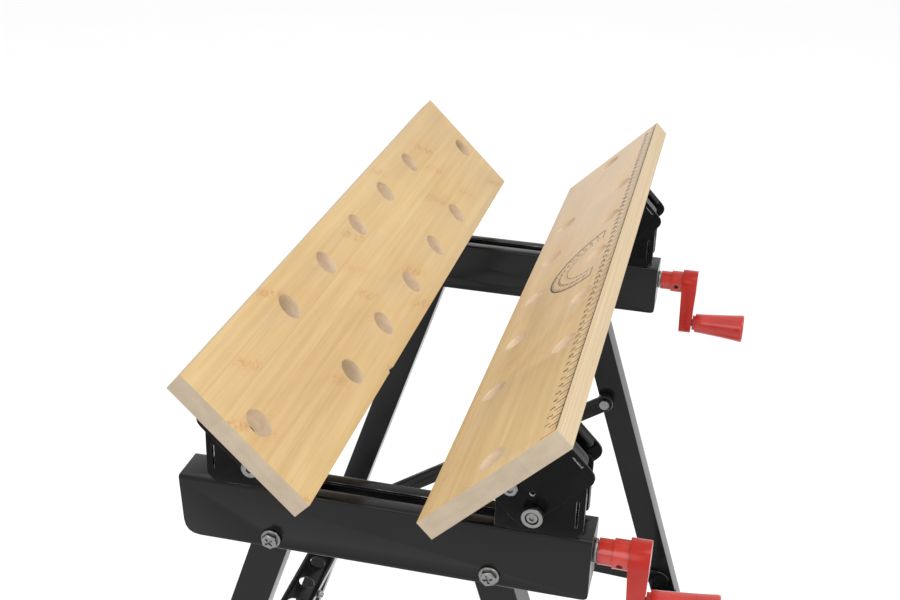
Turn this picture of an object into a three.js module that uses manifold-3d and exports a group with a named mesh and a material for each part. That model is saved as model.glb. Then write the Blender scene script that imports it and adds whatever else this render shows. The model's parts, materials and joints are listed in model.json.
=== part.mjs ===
// A folding clamping workbench: two tilting bamboo jaws on a folding steel stand.
// Millimetres, +Z up. X runs along the jaws, Y along the rails with the cranks at -Y,
// and the origin is on the floor under the middle of the bench.
// Every piece is a closed solid of its own, placed by nested groups.

import * as THREE from 'three';
import { mergeVertices } from 'three/addons/utils/BufferGeometryUtils.js';
import Module from 'manifold-3d';

const wasm = await Module();
wasm.setup();

// ---- Driving dimensions ---------------------------------------------------

const TOUCH_GAP = 0.3; // between pieces that bear on each other
const RUN_GAP = 0.8; // between plates that slide past each other
const HOLE_GAP = 0.3; // radial play of a bolt or screw in its hole

const RAIL_SPACING = 451; // centre to centre
const RAIL_LENGTH = 280;
const RAIL_HEIGHT = 45.5;
const RAIL_WALL = 1.8;
const RAIL_TOP = 700; // above the floor
const RAIL_BACK_LEAN = 3;
const RAIL_BACK_RADIUS = 11;
const RAIL_FRONT_RADIUS = 4;
const RAIL_BEND_RADIUS = 2.5;
const SLOT_WIDTH = 10;
const SLOT_FRONT_MARGIN = 12;
const SLOT_BACK_MARGIN = 46;

const JAW_LENGTH = 605;
const JAW_WIDTH = 110;
const JAW_THICKNESS = 14;
const JAW_TILT = 44; // degrees, in the rest pose
const DOG_HOLE_RADIUS = 10;
const DOG_HOLE_PITCH = 80;
const DOG_HOLES_PER_ROW = 5;
const DOG_ROW_SPACING = 62.5;
const END_HOLE_INSET = 22.5;
const NOTCH_FROM_MIDDLE = 120; // in the back jaw only
const NOTCH_DEPTH = 4.5;

const BACK_PIVOT_Y = 87;
const FRONT_PIVOT_Y = -101.5;
const TILT_PIVOT_HEIGHT = 16; // above the rails
const TILT_PIVOT_DROP = 57; // below the jaw's top face
const TILT_PIVOT_INSET = 30; // from the jaw's inner edge
const TILT_LOCK_RADIUS = 22.5; // from the tilt pivot to the lock screw

const PLATE = 2; // sheet of the carriages and tilt brackets
const CARRIAGE_HEIGHT = 46;
const CARRIAGE_OUTWARD = 32; // from the pivot to the outer edge
const CARRIAGE_INWARD = 25;
const CARRIAGE_CHAMFER = 5;
const CARRIAGE_LIP = { width: 6, bottom: 8, top: 30 }; // folded in at the outer edge
const CARRIAGE_SLIT = { width: 1.6, inset: 4, bottom: 8.6, top: 27.7 };
const BRACKET_INWARD = 14; // from the pivot to the bracket's inner edge
const BRACKET_OUTWARD = 50;
const BRACKET_BELOW_PIVOT = 5;
const BRACKET_FLANGE = 10;
const BRACKET_FLANGE_BOTTOM = 7;
const BRACKET_SLIT = { width: 1.5, bottom: 8, top: 17 };
const INDEX_HOLE = { radius: 1.8, out: 9, up: 11.5 }; // from the tilt pivot
const WEB_HOLES = { radius: 2.3, first: -4, second: 34 }; // for the screws into the jaw

const TILT_BOLT_RADIUS = 3;
const TILT_HEAD_RADIUS = 6.3;
const TILT_LOCK_HEAD_RADIUS = 5.2;
const COLLAR_RADIUS = 7;
const COLLAR_LENGTH = 6;
const COLLAR_RECESS_RADIUS = 4.4; // for the screw's head
const COLLAR_RECESS_DEPTH = 2.6;

const SCREW_RADIUS = 5;
const SCREW_DROP = 16.3; // screw axis below the rail top
const SCREW_END_Y = -10;
const NUT_LENGTH = 22;
const NUT_DEPTH = 8.4; // nut below the screw axis
const WASHER_RADIUS = 8;
const WASHER_THICKNESS = 2;

const HUB_STEPS = [
	{ radius: 8.7, length: 9.7 },
	{ radius: 10, length: 10.3 },
	{ radius: 12, length: 13.6 },
];
const CRANK_OFFSET = 40.5; // screw axis to grip axis
const CRANK_END_RADIUS = 10;
const CRANK_END_THICKNESS = 11;
const GRIP_LENGTH = 44;
const GRIP_NECK_LENGTH = 2.5;
const GRIP_NECK_RADIUS = 7;
const GRIP_START_RADIUS = 8.9;
const GRIP_END_RADIUS = 12.8;
const AXLE_RADIUS = 3.6;
const SET_SCREW_RADIUS = 1.9;
const SET_SCREW_ANGLE = 11; // degrees below the horizontal
const CRANK_REST_ANGLES = { left: 11, right: 0 }; // degrees about Y, from straight down

const LEG_SECTION = 25;
const LEG_WALL = 1.6;
const LEG_SIDE_GAP = 1.2; // between a leg and the rail's inside
const LEG_SPLAY = 18; // degrees from the vertical
const LEG_PIVOT_SPACING = 150;
const LEG_PIVOT_DROP = 38.5; // below the rail top
const LEG_BOLT_RADIUS = 3.9;
const FOOT_WALL = 2.8;
const FOOT_OVERLAP = 33; // up the leg's end
const FOOT_SOLE = 6;

const CROSS_WIDTH = 29;
const CROSS_DEPTH = 20;
const CROSS_SHEET = 1.5;
const CROSS_DOWN = 338; // from the leg pivot, along the leg
const CROSS_HOLE_RADIUS = 8;
const CROSS_HOLE_PITCH = 36;
const CROSS_HOLES = 10;
const CROSS_SCREW_X = 130;
const CROSS_SCREW_RADIUS = 2.5;

const BAR_WIDTH = 16;
const BAR_THICKNESS = 3;
const BAR_SPACER = 5.4; // from the front leg to the link bar
const LINK_PIN_DOWN = 110.3; // on the front leg, from its pivot
const LINK_PIN_FORWARD = -6.9; // off the leg's centre line
const STAY_PIN_DOWN = 301; // on the back leg, from its pivot
const STUD_DOWN = 321; // on the front leg, from its pivot
const PIN_RADIUS = 3.9;
const PIN_HEAD_RADIUS = 4.8;
const HOOK_DEPTH = 11;
const HOOK_SLANT = 35; // degrees, the notch from square to the bar

const ROUND_SIDES = 18;
const CURVE_SEGMENTS = 4;

// ---- Materials ------------------------------------------------------------

const bamboo = { color: 0xe0bf85, roughness: 0.5, metalness: 0 };
const blackPaint = { color: 0x1c1c1d, roughness: 0.3, metalness: 0.2 };
const zinc = { color: 0xc4c6c8, roughness: 0.35, metalness: 0.9 };
const redPlastic = { color: 0xd93026, roughness: 0.35, metalness: 0 };
const blackRubber = { color: 0x161616, roughness: 0.85, metalness: 0 };

// ---- Solids ---------------------------------------------------------------

// A closed geometry as a manifold solid that can be joined and cut.
function solid(geometry) {
	const bare = geometry.clone();
	bare.deleteAttribute('normal');
	bare.deleteAttribute('uv');
	const merged = mergeVertices(bare, 1e-4);
	return new wasm.Manifold(new wasm.Mesh({
		numProp: 3,
		vertProperties: new Float32Array(merged.attributes.position.array),
		triVerts: new Uint32Array(merged.index.array),
	}));
}

function geometryOf(manifold) {
	const mesh = manifold.getMesh();
	const geometry = new THREE.BufferGeometry();
	geometry.setAttribute('position', new THREE.BufferAttribute(mesh.vertProperties, 3));
	geometry.setIndex(new THREE.BufferAttribute(mesh.triVerts, 1));
	geometry.computeVertexNormals();
	return geometry;
}

function part(name, manifold, finish) {
	const mesh = new THREE.Mesh(geometryOf(manifold), new THREE.MeshStandardMaterial(finish));
	mesh.name = name;
	return mesh;
}

function radians(degrees) {
	return THREE.MathUtils.degToRad(degrees);
}

// A box between two values on each axis.
function block([x0, x1], [y0, y1], [z0, z1]) {
	const box = new THREE.BoxGeometry(x1 - x0, y1 - y0, z1 - z0);
	return solid(box.translate((x0 + x1) / 2, (y0 + y1) / 2, (z0 + z1) / 2));
}

// A cylinder along X, through (y, z).
function rodX(radius, [x0, x1], y, z, sides = ROUND_SIDES) {
	const rod = new THREE.CylinderGeometry(radius, radius, x1 - x0, sides);
	return solid(rod.rotateZ(Math.PI / 2).translate((x0 + x1) / 2, y, z));
}

// A cylinder along Y, through (x, z).
function rodY(radius, [y0, y1], x, z, sides = ROUND_SIDES) {
	const rod = new THREE.CylinderGeometry(radius, radius, y1 - y0, sides);
	return solid(rod.translate(x, (y0 + y1) / 2, z));
}

// A cylinder along Z, through (x, y).
function rodZ(radius, [z0, z1], x, y, sides = ROUND_SIDES) {
	const rod = new THREE.CylinderGeometry(radius, radius, z1 - z0, sides);
	return solid(rod.rotateX(Math.PI / 2).translate(x, y, (z0 + z1) / 2));
}

function extruded(shape, depth, basis) {
	const options = { depth, bevelEnabled: false, curveSegments: CURVE_SEGMENTS };
	return new THREE.ExtrudeGeometry(shape, options).applyMatrix4(basis);
}

// An outline in (y, z), extruded along X.
function prismX(shape, [x0, x1]) {
	const basis = new THREE.Matrix4().makeBasis(
		new THREE.Vector3(0, 1, 0), new THREE.Vector3(0, 0, 1), new THREE.Vector3(1, 0, 0));
	return solid(extruded(shape, x1 - x0, basis).translate(x0, 0, 0));
}

// An outline in (x, z), extruded along Y.
function prismY(shape, [y0, y1]) {
	const basis = new THREE.Matrix4().makeBasis(
		new THREE.Vector3(1, 0, 0), new THREE.Vector3(0, 0, 1), new THREE.Vector3(0, -1, 0));
	return solid(extruded(shape, y1 - y0, basis).translate(0, y1, 0));
}

// An outline in (x, y), extruded along Z.
function prismZ(shape, [z0, z1]) {
	return solid(extruded(shape, z1 - z0, new THREE.Matrix4()).translate(0, 0, z0));
}

// A polygon whose corners are given as [x, y, radius].
function roundedPolygon(corners) {
	const shape = new THREE.Shape();
	const count = corners.length;
	corners.forEach(([x, y, radius = 0], i) => {
		const corner = new THREE.Vector2(x, y);
		const before = new THREE.Vector2(...corners[(i + count - 1) % count].slice(0, 2));
		const after = new THREE.Vector2(...corners[(i + 1) % count].slice(0, 2));
		const from = before.sub(corner).setLength(radius).add(corner);
		const to = after.sub(corner).setLength(radius).add(corner);
		if (i === 0) {
			shape.moveTo(from.x, from.y);
		} else {
			shape.lineTo(from.x, from.y);
		}
		if (radius > 0) {
			shape.quadraticCurveTo(x, y, to.x, to.y);
		}
	});
	shape.closePath();
	return shape;
}

// A bar with round ends, from (0, 0) to (length, 0).
function stadium(length, radius) {
	const shape = new THREE.Shape();
	shape.absarc(length, 0, radius, -Math.PI / 2, Math.PI / 2, false);
	shape.absarc(0, 0, radius, Math.PI / 2, Math.PI * 1.5, false);
	shape.closePath();
	return shape;
}

// A slot that follows an arc about the origin, with round ends.
function arcSlot(radius, halfWidth, start, end) {
	const shape = new THREE.Shape();
	const startPoint = new THREE.Vector2(Math.cos(start), Math.sin(start)).multiplyScalar(radius);
	const endPoint = new THREE.Vector2(Math.cos(end), Math.sin(end)).multiplyScalar(radius);
	shape.absarc(0, 0, radius + halfWidth, start, end, false);
	shape.absarc(endPoint.x, endPoint.y, halfWidth, end, end + Math.PI, false);
	shape.absarc(0, 0, radius - halfWidth, end, start, true);
	shape.absarc(startPoint.x, startPoint.y, halfWidth, start + Math.PI, start + 2 * Math.PI, false);
	shape.closePath();
	return shape;
}

// ---- Places that several pieces share ---------------------------------------

const SIDES = { left: -1, right: 1 };
const railX = RAIL_SPACING / 2;
const railWidth = LEG_SECTION + 2 * (LEG_SIDE_GAP + RAIL_WALL); // the legs swing inside the rails
const railEnd = RAIL_LENGTH / 2;
const legPivotZ = RAIL_TOP - LEG_PIVOT_DROP;
const legAngles = { front: -radians(LEG_SPLAY), back: radians(LEG_SPLAY) };
const legPivotY = { front: -LEG_PIVOT_SPACING / 2, back: LEG_PIVOT_SPACING / 2 };
const carriageHalf = railWidth / 2 - TOUCH_GAP;
const bracketHalf = carriageHalf + RUN_GAP + PLATE;
const legInnerX = railX - LEG_SECTION / 2; // the legs' faces that look at each other

// The legs' ends hang FOOT_SOLE above the floor at their lowest corner.
const legLength = (legPivotZ - FOOT_SOLE) / Math.cos(radians(LEG_SPLAY))
	- LEG_SECTION / 2 * Math.tan(radians(LEG_SPLAY));

// A point given along and across a leg, as (y, z) in the bench's frame.
function pointOnLeg(end, across, down) {
	const angle = legAngles[end];
	return {
		y: legPivotY[end] + across * Math.cos(angle) + down * Math.sin(angle),
		z: legPivotZ + across * Math.sin(angle) - down * Math.cos(angle),
	};
}

const linkPin = pointOnLeg('front', -LINK_PIN_FORWARD, LINK_PIN_DOWN);
const stayPin = pointOnLeg('back', 0, STAY_PIN_DOWN);
const stud = pointOnLeg('front', 0, STUD_DOWN);

// Planes of the two bars beside the legs, as distances from the middle of the bench.
const stayOuter = legInnerX - TOUCH_GAP;
const stayInner = stayOuter - BAR_THICKNESS;
const linkOuter = legInnerX - TOUCH_GAP - BAR_SPACER - TOUCH_GAP;
const linkInner = linkOuter - BAR_THICKNESS;

function mirrored(sign, [a, b]) {
	return sign > 0 ? [a, b] : [-b, -a];
}

// ---- Rails and what stays on them ---------------------------------------------

// Folded channel, open below and at the back, with a slot in its top.
function railSolid() {
	const half = railWidth / 2;
	const side = roundedPolygon([
		[-railEnd, 0],
		[-railEnd, -RAIL_HEIGHT, RAIL_FRONT_RADIUS],
		[railEnd - RAIL_BACK_LEAN, -RAIL_HEIGHT, RAIL_BACK_RADIUS],
		[railEnd, 0],
	]);
	const section = roundedPolygon([
		[-half, -RAIL_HEIGHT], [half, -RAIL_HEIGHT],
		[half, 0, RAIL_BEND_RADIUS], [-half, 0, RAIL_BEND_RADIUS],
	]);
	const inside = block([-half + RAIL_WALL, half - RAIL_WALL],
		[-railEnd + RAIL_WALL, railEnd + 1], [-RAIL_HEIGHT - 1, -RAIL_WALL]);
	let rail = prismX(side, [-half, half]).intersect(prismY(section, [-railEnd, railEnd]));
	rail = rail.subtract(inside).subtract(slotCutter());
	for (const y of Object.values(legPivotY)) {
		rail = rail.subtract(rodX(LEG_BOLT_RADIUS + HOLE_GAP, [-half - 1, half + 1], y, -LEG_PIVOT_DROP));
	}
	return rail.subtract(
		rodY(SCREW_RADIUS + HOLE_GAP, [-railEnd - 1, -railEnd + RAIL_WALL + 1], 0, -SCREW_DROP));
}

function slotCutter() {
	const start = -railEnd + SLOT_FRONT_MARGIN;
	const length = RAIL_LENGTH - SLOT_FRONT_MARGIN - SLOT_BACK_MARGIN;
	const straight = length - SLOT_WIDTH;
	const outline = new THREE.ExtrudeGeometry(stadium(straight, SLOT_WIDTH / 2),
		{ depth: RAIL_WALL + 2, bevelEnabled: false, curveSegments: CURVE_SEGMENTS });
	outline.rotateZ(Math.PI / 2).translate(0, start + SLOT_WIDTH / 2, -RAIL_WALL - 1);
	return solid(outline);
}

// Hex head with a flange and a cross recess outside, shank through, nut inside.
function legBoltSolid(sign) {
	const face = railWidth / 2 + TOUCH_GAP;
	const flange = 1.6;
	const head = 4.6;
	const nut = 6;
	const recessDepth = 1.6;
	const recessWidth = 1.5;
	const recessLength = 5.6;
	let bolt = rodX(LEG_BOLT_RADIUS, [-face - nut - 1.5, face + flange], 0, 0)
		.add(rodX(7, [face, face + flange], 0, 0))
		.add(rodX(5.9, [face, face + head], 0, 0, 6))
		.add(rodX(6.8, [-face - nut, -face], 0, 0, 6));
	const depth = [face + head - recessDepth, face + head + 1];
	bolt = bolt
		.subtract(block(depth, [-recessLength / 2, recessLength / 2], [-recessWidth / 2, recessWidth / 2]))
		.subtract(block(depth, [-recessWidth / 2, recessWidth / 2], [-recessLength / 2, recessLength / 2]));
	return sign > 0 ? bolt : bolt.rotate([0, 0, 180]);
}

// Folded bracket that stands on a rail and holds the tilt pivot. Its outer edge is at +Y.
function carriageSolid() {
	const bottom = TOUCH_GAP;
	const inner = carriageHalf - PLATE;
	const side = roundedPolygon([
		[-CARRIAGE_INWARD, bottom],
		[CARRIAGE_OUTWARD - CARRIAGE_CHAMFER, bottom, 1],
		[CARRIAGE_OUTWARD, bottom + CARRIAGE_CHAMFER, 2],
		[CARRIAGE_OUTWARD, CARRIAGE_HEIGHT, 6],
		[-CARRIAGE_INWARD, CARRIAGE_HEIGHT, 6],
	]);
	let carriage = prismX(side, [-carriageHalf, carriageHalf]).subtract(
		block([-inner, inner], [-CARRIAGE_INWARD - 1, CARRIAGE_OUTWARD + 1],
			[bottom + PLATE, CARRIAGE_HEIGHT + 1]));
	for (const sign of Object.values(SIDES)) {
		carriage = carriage.add(block(mirrored(sign, [inner - CARRIAGE_LIP.width, inner + 1]),
			[CARRIAGE_OUTWARD - PLATE, CARRIAGE_OUTWARD - 0.2], [CARRIAGE_LIP.bottom, CARRIAGE_LIP.top]));
	}
	const through = [-carriageHalf - 1, carriageHalf + 1];
	const slitEdge = CARRIAGE_OUTWARD - CARRIAGE_SLIT.inset;
	const slit = block(through, [slitEdge - CARRIAGE_SLIT.width, slitEdge],
		[CARRIAGE_SLIT.bottom, CARRIAGE_SLIT.top]);
	const lockSlot = prismX(
		arcSlot(TILT_LOCK_RADIUS, TILT_BOLT_RADIUS + HOLE_GAP, radians(89), radians(91 + JAW_TILT)), through);
	return carriage.subtract(slit)
		.subtract(lockSlot.translate([0, 0, TILT_PIVOT_HEIGHT]))
		.subtract(rodX(TILT_BOLT_RADIUS + HOLE_GAP, through, 0, TILT_PIVOT_HEIGHT));
}

// ---- Jaws -----------------------------------------------------------------------

// In a jaw's frame the tilt pivot is the origin, +Y points outwards and +Z out of the top face.
const jawInner = -TILT_PIVOT_INSET;
const jawTop = TILT_PIVOT_DROP;
const jawBottom = jawTop - JAW_THICKNESS;

function jawSolid(end) {
	const half = JAW_LENGTH / 2;
	const through = [jawBottom - 1, jawTop + 1];
	const middle = jawInner + JAW_WIDTH / 2;
	let board = block([-half, half], [jawInner, jawInner + JAW_WIDTH], [jawBottom, jawTop]);
	for (const row of [-0.5, 0.5]) {
		for (let i = 0; i < DOG_HOLES_PER_ROW; i++) {
			const x = (i - (DOG_HOLES_PER_ROW - 1) / 2) * DOG_HOLE_PITCH;
			board = board.subtract(rodZ(DOG_HOLE_RADIUS, through, x, middle + row * DOG_ROW_SPACING));
		}
	}
	for (const sign of Object.values(SIDES)) {
		board = board.subtract(rodZ(DOG_HOLE_RADIUS, through, sign * (half - END_HOLE_INSET), middle));
	}
	return end === 'back' ? board.subtract(prismZ(notchShape(-NOTCH_FROM_MIDDLE), through)) : board;
}

function notchShape(x) {
	return roundedPolygon([
		[x - NOTCH_DEPTH - 1, jawInner - 1], [x + NOTCH_DEPTH + 1, jawInner - 1], [x, jawInner + NOTCH_DEPTH],
	]);
}

// U-shaped folded bracket under a jaw, with a flange on the outer edge of each side.
function tiltBracketSolid() {
	const top = jawBottom - TOUCH_GAP;
	const inner = bracketHalf - PLATE;
	const side = roundedPolygon([
		[-BRACKET_INWARD, -BRACKET_BELOW_PIVOT, 9],
		[BRACKET_OUTWARD, -BRACKET_BELOW_PIVOT, 8],
		[BRACKET_OUTWARD, top],
		[-BRACKET_INWARD, top],
	]);
	let bracket = prismX(side, [-bracketHalf, bracketHalf]).subtract(
		block([-inner, inner], [-BRACKET_INWARD - 1, BRACKET_OUTWARD + 1],
			[-BRACKET_BELOW_PIVOT - 1, top - PLATE]));
	for (const sign of Object.values(SIDES)) {
		bracket = bracket.add(bracketFlange(sign, inner, top));
	}
	const through = [-bracketHalf - 1, bracketHalf + 1];
	const slitEdge = BRACKET_OUTWARD - PLATE;
	const slit = block(through, [slitEdge - BRACKET_SLIT.width, slitEdge],
		[BRACKET_SLIT.bottom, BRACKET_SLIT.top]);
	bracket = bracket.subtract(slit)
		.subtract(rodX(TILT_BOLT_RADIUS + HOLE_GAP, through, 0, 0))
		.subtract(rodX(TILT_BOLT_RADIUS + HOLE_GAP, through, 0, TILT_LOCK_RADIUS))
		.subtract(rodX(INDEX_HOLE.radius, through, INDEX_HOLE.out, INDEX_HOLE.up, 12));
	for (const y of [WEB_HOLES.first, WEB_HOLES.second]) {
		bracket = bracket.subtract(rodZ(WEB_HOLES.radius, [top - PLATE - 1, top + 1], 0, y, 12));
	}
	return bracket;
}

function bracketFlange(sign, inner, top) {
	const tip = inner - BRACKET_FLANGE;
	const outline = roundedPolygon([
		[sign * (inner + 1), BRACKET_FLANGE_BOTTOM],
		[sign * tip, BRACKET_FLANGE_BOTTOM, 4],
		[sign * tip, top - 3, 2],
		[sign * (inner + 1), top - 3],
	]);
	return prismY(outline, [BRACKET_OUTWARD - PLATE, BRACKET_OUTWARD - 0.2]);
}

// Button head with a hex socket at +X, shank through both sides, nut at -X.
function tiltScrewSolid(sign, headFace, headRadius, headThickness) {
	const face = bracketHalf + TOUCH_GAP;
	const nut = 4.5;
	const socketRadius = Math.min(2.4, headRadius * 0.6);
	const screw = rodX(TILT_BOLT_RADIUS, [-face - nut - 1, headFace + headThickness], 0, 0, 20)
		.add(rodX(headRadius, [headFace, headFace + headThickness], 0, 0))
		.add(rodX(5.7, [-face - nut, -face], 0, 0, 6))
		.subtract(rodX(socketRadius, [headFace + headThickness - 1.6, headFace + headThickness + 1], 0, 0, 6));
	return sign > 0 ? screw : screw.rotate([0, 0, 180]);
}

// Thick ring under the head of a front pivot screw, counterbored for that head.
function collarSolid(sign) {
	const face = bracketHalf + TOUCH_GAP;
	const bore = TILT_BOLT_RADIUS + HOLE_GAP;
	const end = face + COLLAR_LENGTH;
	const collar = rodX(COLLAR_RADIUS, [face, end], 0, 0)
		.subtract(rodX(bore, [face - 1, end + 1], 0, 0))
		.subtract(rodX(COLLAR_RECESS_RADIUS, [end - COLLAR_RECESS_DEPTH, end + 1], 0, 0));
	return sign > 0 ? collar : collar.rotate([0, 0, 180]);
}

// Group that turns a jaw's frame into the bench's frame. end is 'front' or 'back'.
function jawGroup(end) {
	const turned = new THREE.Group();
	turned.position.set(0, end === 'back' ? BACK_PIVOT_Y : FRONT_PIVOT_Y, RAIL_TOP + TILT_PIVOT_HEIGHT);
	turned.rotation.z = end === 'back' ? 0 : Math.PI;
	const tilted = new THREE.Group();
	tilted.rotation.x = radians(JAW_TILT);
	turned.add(tilted);
	tilted.add(part(`${end}_jaw_board`, jawSolid(end), bamboo));
	for (const [side, worldSign] of Object.entries(SIDES)) {
		const sign = end === 'back' ? worldSign : -worldSign;
		const name = `${end}_${side}`;
		const place = new THREE.Group();
		place.position.x = sign * railX;
		tilted.add(place);
		place.add(part(`${name}_tilt_bracket`, tiltBracketSolid(), blackPaint));
		place.add(...tiltFasteners(name, sign, end === 'front'));
	}
	return turned;
}

function tiltFasteners(name, sign, withCollar) {
	const face = bracketHalf + TOUCH_GAP;
	const lock = part(`${name}_lock_screw`, tiltScrewSolid(sign, face, TILT_LOCK_HEAD_RADIUS, 2.4), zinc);
	lock.position.z = TILT_LOCK_RADIUS;
	if (!withCollar) {
		const pivot = tiltScrewSolid(sign, face, TILT_HEAD_RADIUS, 2.4);
		return [lock, part(`${name}_pivot_screw`, pivot, zinc)];
	}
	const headFace = face + COLLAR_LENGTH - COLLAR_RECESS_DEPTH + TOUCH_GAP;
	const pivot = tiltScrewSolid(sign, headFace, COLLAR_RECESS_RADIUS - 2 * HOLE_GAP, 2);
	const collar = part(`${name}_pivot_collar`, collarSolid(sign), zinc);
	return [lock, part(`${name}_pivot_screw`, pivot, zinc), collar];
}

// ---- Clamping screws and cranks ----------------------------------------------------

// The screw turns in the rail's front end, held by a collar behind it and the crank before it.
function leadScrewSolid() {
	const collarStart = -railEnd + RAIL_WALL + TOUCH_GAP;
	return rodY(SCREW_RADIUS, [screwFrontEnd, SCREW_END_Y], 0, 0)
		.add(rodY(WASHER_RADIUS, [collarStart, collarStart + 4], 0, 0));
}

const hubStart = -railEnd - TOUCH_GAP - WASHER_THICKNESS - TOUCH_GAP;
const hubLength = HUB_STEPS.reduce((sum, step) => sum + step.length, 0);
const screwFrontEnd = hubStart - hubLength + 4;

function washerSolid() {
	const y = [-railEnd - TOUCH_GAP - WASHER_THICKNESS, -railEnd - TOUCH_GAP];
	return rodY(WASHER_RADIUS, y, 0, 0)
		.subtract(rodY(SCREW_RADIUS + HOLE_GAP, [y[0] - 1, y[1] + 1], 0, 0));
}

// Nut on the screw, with a neck that fills the rail's slot and carries the front carriage.
function travelNutSolid() {
	const half = railWidth / 2 - RAIL_WALL - 1;
	const top = SCREW_DROP - RAIL_WALL - TOUCH_GAP;
	const neck = SLOT_WIDTH / 2 - HOLE_GAP;
	return block([-half, half], [-NUT_LENGTH / 2, NUT_LENGTH / 2], [-NUT_DEPTH, top])
		.add(block([-neck, neck], [-NUT_LENGTH / 2, NUT_LENGTH / 2], [0, SCREW_DROP]))
		.subtract(rodY(SCREW_RADIUS + HOLE_GAP, [-NUT_LENGTH, NUT_LENGTH], 0, 0));
}

// Stepped hub, hanging arm and the axle that the grip turns on, about the screw's axis.
function crankArmSolid() {
	let y = hubStart;
	let crank = null;
	for (const { radius, length } of HUB_STEPS) {
		const step = rodY(radius, [y - length, y + (crank ? 1 : 0)], 0, 0, 24);
		crank = crank ? crank.add(step) : step;
		y -= length;
	}
	crank = crank.add(armSolid())
		.add(rodY(AXLE_RADIUS, [gripEnd + 4, armFront + 2], 0, -CRANK_OFFSET, 20))
		.subtract(rodY(SCREW_RADIUS + HOLE_GAP, [screwFrontEnd - TOUCH_GAP, hubStart + 1], 0, 0));
	return crank.subtract(setScrewRod(SET_SCREW_RADIUS + HOLE_GAP, [0, 30]));
}

const armBack = hubStart - HUB_STEPS[0].length - HUB_STEPS[1].length;
const armFront = hubStart - hubLength;
const gripStart = armFront + 1 - RUN_GAP;
const gripEnd = gripStart - GRIP_NECK_LENGTH - GRIP_LENGTH;

// Two circles joined by tangents, thinned towards the grip.
function armSolid() {
	const hub = HUB_STEPS[2].radius;
	const slope = Math.asin((hub - CRANK_END_RADIUS) / CRANK_OFFSET);
	const outline = new THREE.Shape();
	outline.absarc(0, 0, hub, -slope, Math.PI + slope, false);
	outline.absarc(0, -CRANK_OFFSET, CRANK_END_RADIUS, Math.PI + slope, 2 * Math.PI - slope, false);
	outline.closePath();
	const bottom = -CRANK_OFFSET - CRANK_END_RADIUS - 1;
	const middle = (armBack + armFront) / 2;
	const taper = roundedPolygon([
		[armBack, hub + 1], [armFront, hub + 1],
		[middle - CRANK_END_THICKNESS / 2, bottom], [middle + CRANK_END_THICKNESS / 2, bottom],
	]);
	return prismY(outline, [armFront, armBack]).intersect(prismX(taper, [-hub - 1, hub + 1]));
}

function setScrewRod(radius, [near, far]) {
	const middle = hubStart - HUB_STEPS[0].length - HUB_STEPS[1].length / 2;
	return rodX(radius, [-far, -near], 0, 0, 16)
		.rotate([0, -SET_SCREW_ANGLE, 0])
		.translate([0, middle, 0]);
}

// Conical grip with a blind bore for the axle.
function gripSolid() {
	const neckEnd = gripStart - GRIP_NECK_LENGTH;
	const profile = [
		[0, gripEnd], [GRIP_END_RADIUS - 2, gripEnd], [GRIP_END_RADIUS - 0.5, gripEnd + 0.6],
		[GRIP_END_RADIUS, gripEnd + 2.2], [GRIP_START_RADIUS, neckEnd - 1], [GRIP_START_RADIUS - 1, neckEnd],
		[GRIP_NECK_RADIUS, neckEnd], [GRIP_NECK_RADIUS, gripStart], [0, gripStart],
	];
	const points = profile.map(([radius, y]) => new THREE.Vector2(radius, y));
	const grip = solid(new THREE.LatheGeometry(points, 24));
	return grip.subtract(rodY(AXLE_RADIUS + HOLE_GAP, [gripEnd + 3, gripStart + 1], 0, 0, 20));
}

function crankGroup(side, sign) {
	const group = new THREE.Group();
	group.position.set(sign * railX, 0, RAIL_TOP - SCREW_DROP);
	group.rotation.y = -radians(CRANK_REST_ANGLES[side]);
	group.add(part(`${side}_lead_screw`, leadScrewSolid(), zinc));
	group.add(part(`${side}_crank_arm`, crankArmSolid(), redPlastic));
	group.add(part(`${side}_set_screw`,
		setScrewRod(SET_SCREW_RADIUS, [SCREW_RADIUS + TOUCH_GAP, HUB_STEPS[1].radius - 1]), blackPaint));
	const grip = part(`${side}_crank_grip`, gripSolid(), redPlastic);
	grip.position.z = -CRANK_OFFSET;
	group.add(grip);
	return group;
}

// ---- Legs -------------------------------------------------------------------------

// In a leg's frame the rail pivot is the origin and the leg runs down -Z.
function legSolid(sign, end) {
	const half = LEG_SECTION / 2;
	const hollow = half - LEG_WALL;
	let leg = block([-half, half], [-half, half], [-legLength, 0])
		.add(rodX(half, [-half, half], 0, 0, 24))
		.subtract(block([-hollow, hollow], [-hollow, hollow], [-legLength - 1, half + 1]))
		.subtract(rodX(LEG_BOLT_RADIUS + HOLE_GAP, [-half - 1, half + 1], 0, 0));
	const innerWall = mirrored(-sign, [hollow - 1, half + 1]);
	if (end === 'front') {
		leg = leg.subtract(rodX(PIN_RADIUS + HOLE_GAP, innerWall, -LINK_PIN_FORWARD, -LINK_PIN_DOWN))
			.add(studSolid(sign));
	} else {
		leg = leg.subtract(rodX(PIN_RADIUS + HOLE_GAP, innerWall, 0, -STAY_PIN_DOWN));
	}
	return leg;
}

// Headed stud welded to a front leg, which the stay hooks over.
function studSolid(sign) {
	const half = LEG_SECTION / 2;
	const past = BAR_THICKNESS + 2 * TOUCH_GAP;
	return rodX(PIN_RADIUS, mirrored(-sign, [half - 0.5, half + past + 1]), 0, -STUD_DOWN)
		.add(rodX(PIN_RADIUS + 1.6, mirrored(-sign, [half + past, half + past + 1.6]), 0, -STUD_DOWN));
}

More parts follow.
